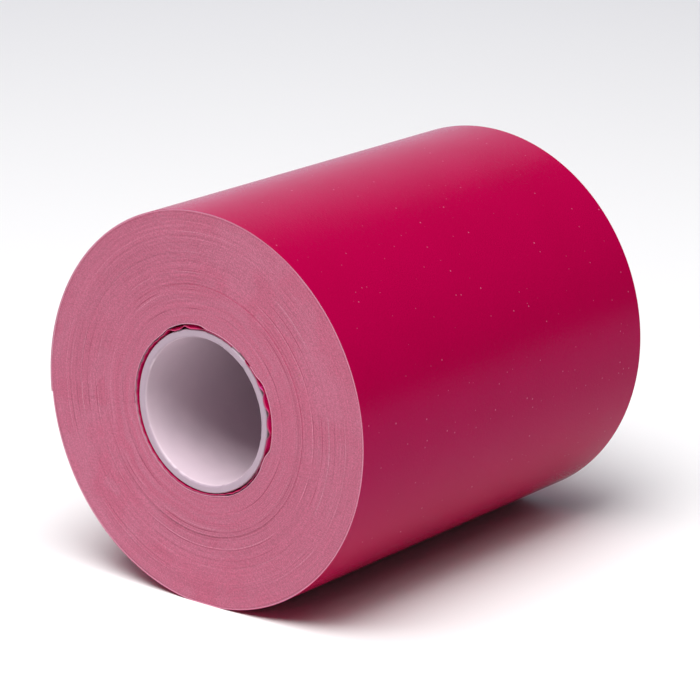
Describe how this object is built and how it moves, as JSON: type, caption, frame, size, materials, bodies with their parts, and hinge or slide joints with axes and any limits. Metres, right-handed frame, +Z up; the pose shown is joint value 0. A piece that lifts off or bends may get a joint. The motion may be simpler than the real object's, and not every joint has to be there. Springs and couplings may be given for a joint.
{
  "type": "roll of sign vinyl",
  "caption": "Roll of coloured self-adhesive sign vinyl on a paper liner, wound on a plastic core, with a free end that lifts and film that peels off the liner.",
  "frame": {"origin": "on the axis of the core's bore, half way along the core", "axes": "+Y along the core's bore, from the end with the inner turns standing proud to the other; +Z up, with the roll lying on its side; the free end of the web is on the -X side"},
  "size_m": [0.0868, 0.1002, 0.0864],
  "materials": {
    "core_plastic": "satin white plastic",
    "mounting_tape": "satin translucent tape",
    "vinyl_film": "satin crimson vinyl",
    "release_liner": "satin white release paper",
    "wound_web": "matte edges of crimson film and white liner"
  },
  "bodies": {
    "roll": {"core_tube": "core_plastic", "start_tape": "mounting_tape", "lead_film": "vinyl_film", "lead_liner": "release_liner", "inner_turns": "wound_web", "middle_turns": "wound_web", "outer_turns": "wound_web", "last_turn_liner": "release_liner", "last_turn_film": "vinyl_film"},
    "tail": {"tail_liner": "release_liner", "tail_film": "vinyl_film"},
    "peel": {"film_end": "vinyl_film"}
  },
  "joints": [
    {"name": "tail_lift", "type": "hinge", "parent": "roll", "child": "tail", "pos_m": [-0.02806, 0, 0.03317], "axis": [0, 1, 0], "range_deg": [0, 75]},
    {"name": "film_peel", "type": "hinge", "parent": "tail", "child": "peel", "pos_m": [-0.03774, 0, 0.02161], "axis": [0, 1, 0], "range_deg": [0, 120]}
  ]
}
